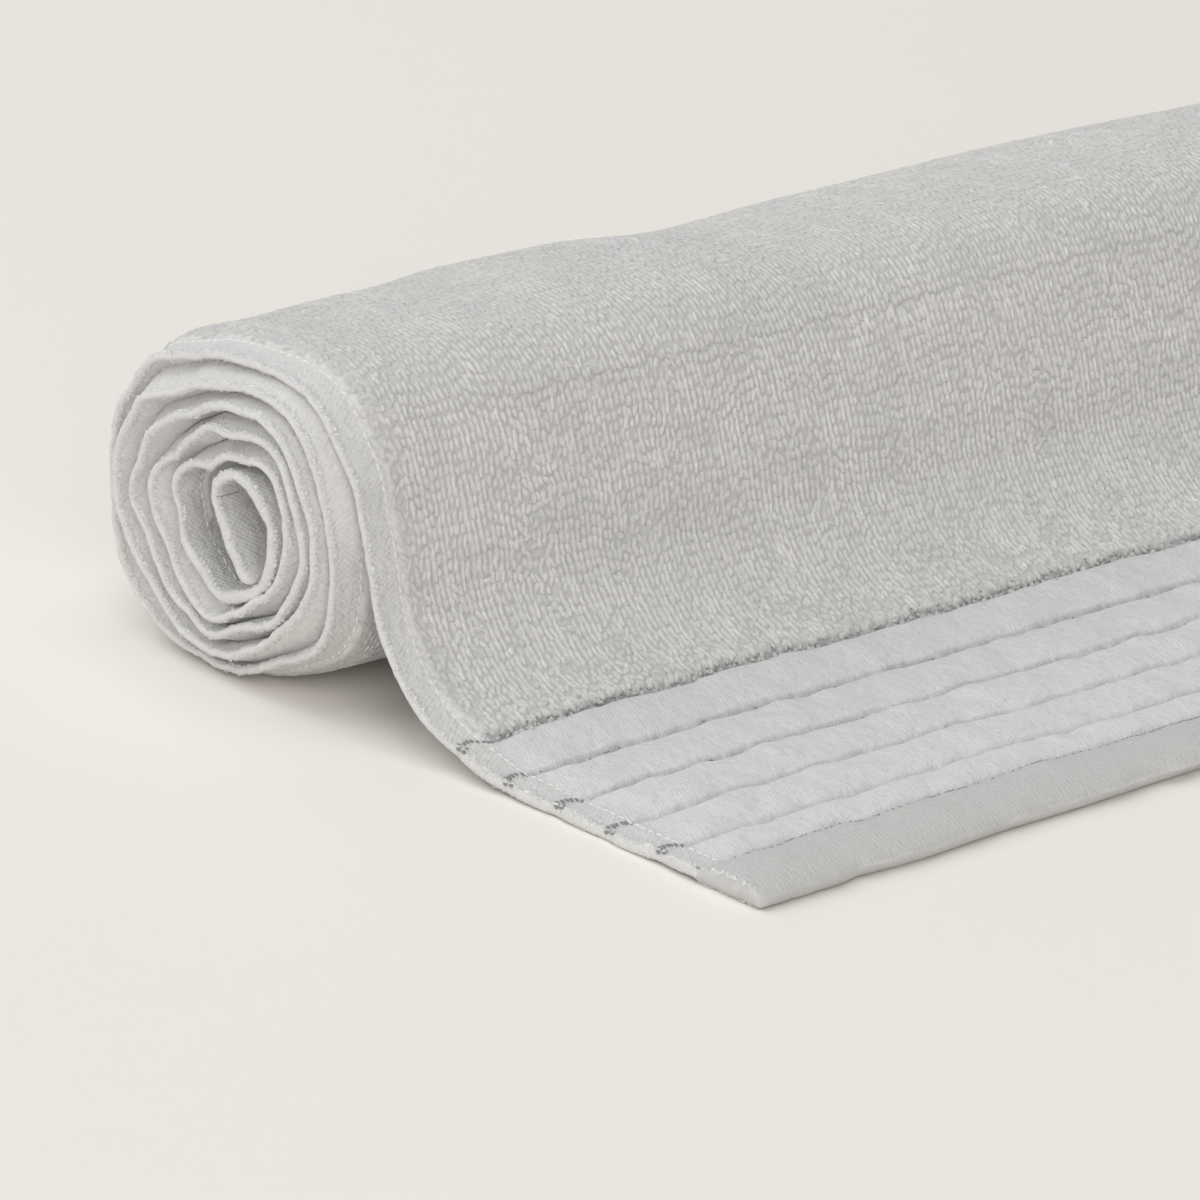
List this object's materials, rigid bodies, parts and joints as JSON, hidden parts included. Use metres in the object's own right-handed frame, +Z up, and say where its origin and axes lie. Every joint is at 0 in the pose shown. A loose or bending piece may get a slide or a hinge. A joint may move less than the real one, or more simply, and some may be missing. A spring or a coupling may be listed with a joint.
{
  "type": "rolled bath towel",
  "caption": "A white terry bath towel rolled up around itself, its outer end laid out flat in front to show the woven border and hem",
  "frame": {"origin": "on the table, below the middle of the towel's outline", "axes": "+X along the roll, +Y from the flat end towards the roll, +Z up"},
  "size_m": [0.7106, 0.281, 0.099],
  "materials": {
    "terry": "matt white cotton terry with a smoother woven border and plain woven hems"
  },
  "bodies": {
    "root": {"towel": "terry"}
  },
  "joints": []
}
